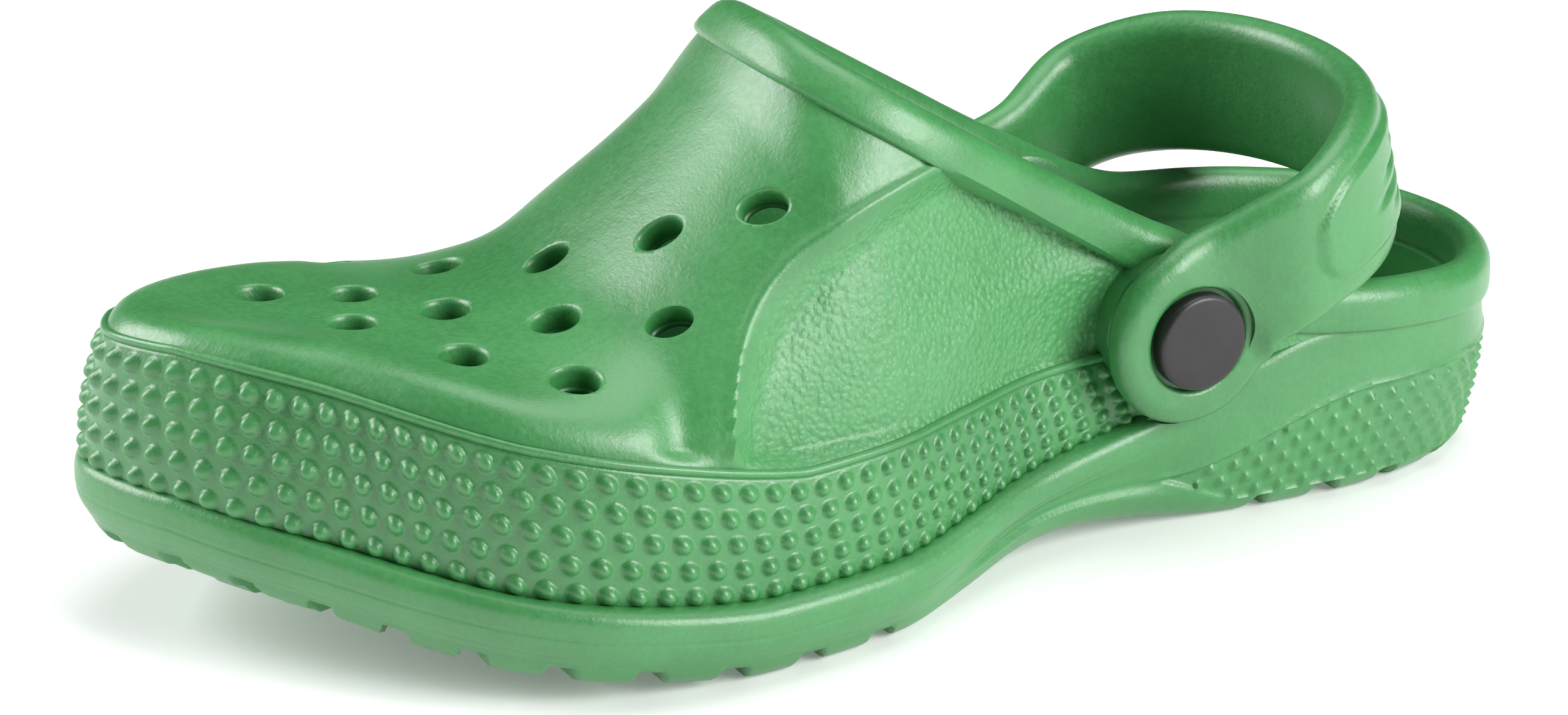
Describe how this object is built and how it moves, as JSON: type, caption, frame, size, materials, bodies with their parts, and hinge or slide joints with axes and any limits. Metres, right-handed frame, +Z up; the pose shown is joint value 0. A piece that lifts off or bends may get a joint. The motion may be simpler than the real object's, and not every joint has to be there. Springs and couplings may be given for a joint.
{
  "type": "garden clog",
  "caption": "Closed-toe moulded foam clog with vent holes, a raised collar, a dotted toe band, an open heel cup and a swinging heel strap on snap rivets.",
  "frame": {"origin": "on the ground, under the middle of the shoe's length and width", "axes": "+Z up, toe along -Y, heel along +Y, outer (little toe) side of the left foot along +X"},
  "size_m": [0.1066, 0.261, 0.0981],
  "materials": {
    "foam_green": "satin moulded foam with a faint grain",
    "plastic_black": "satin"
  },
  "bodies": {
    "shoe": {"clog_body": "foam_green"},
    "strap": {"heel_strap": "foam_green"},
    "rivet_outer": {"rivet_cap_outer": "plastic_black", "rivet_socket_outer": "plastic_black"},
    "rivet_inner": {"rivet_cap_inner": "plastic_black", "rivet_socket_inner": "plastic_black"}
  },
  "joints": [
    {"name": "strap_swing", "type": "hinge", "parent": "shoe", "child": "strap", "pos_m": [0, 0.05056, 0.038], "axis": [1, 0, 0], "range_deg": [-4, 85]},
    {"name": "outer_rivet_spin", "type": "hinge", "parent": "shoe", "child": "rivet_outer", "pos_m": [0.03, 0.05056, 0.038], "axis": [1, 0, 0], "continuous": true},
    {"name": "inner_rivet_spin", "type": "hinge", "parent": "shoe", "child": "rivet_inner", "pos_m": [-0.036, 0.05056, 0.038], "axis": [1, 0, 0], "continuous": true}
  ]
}
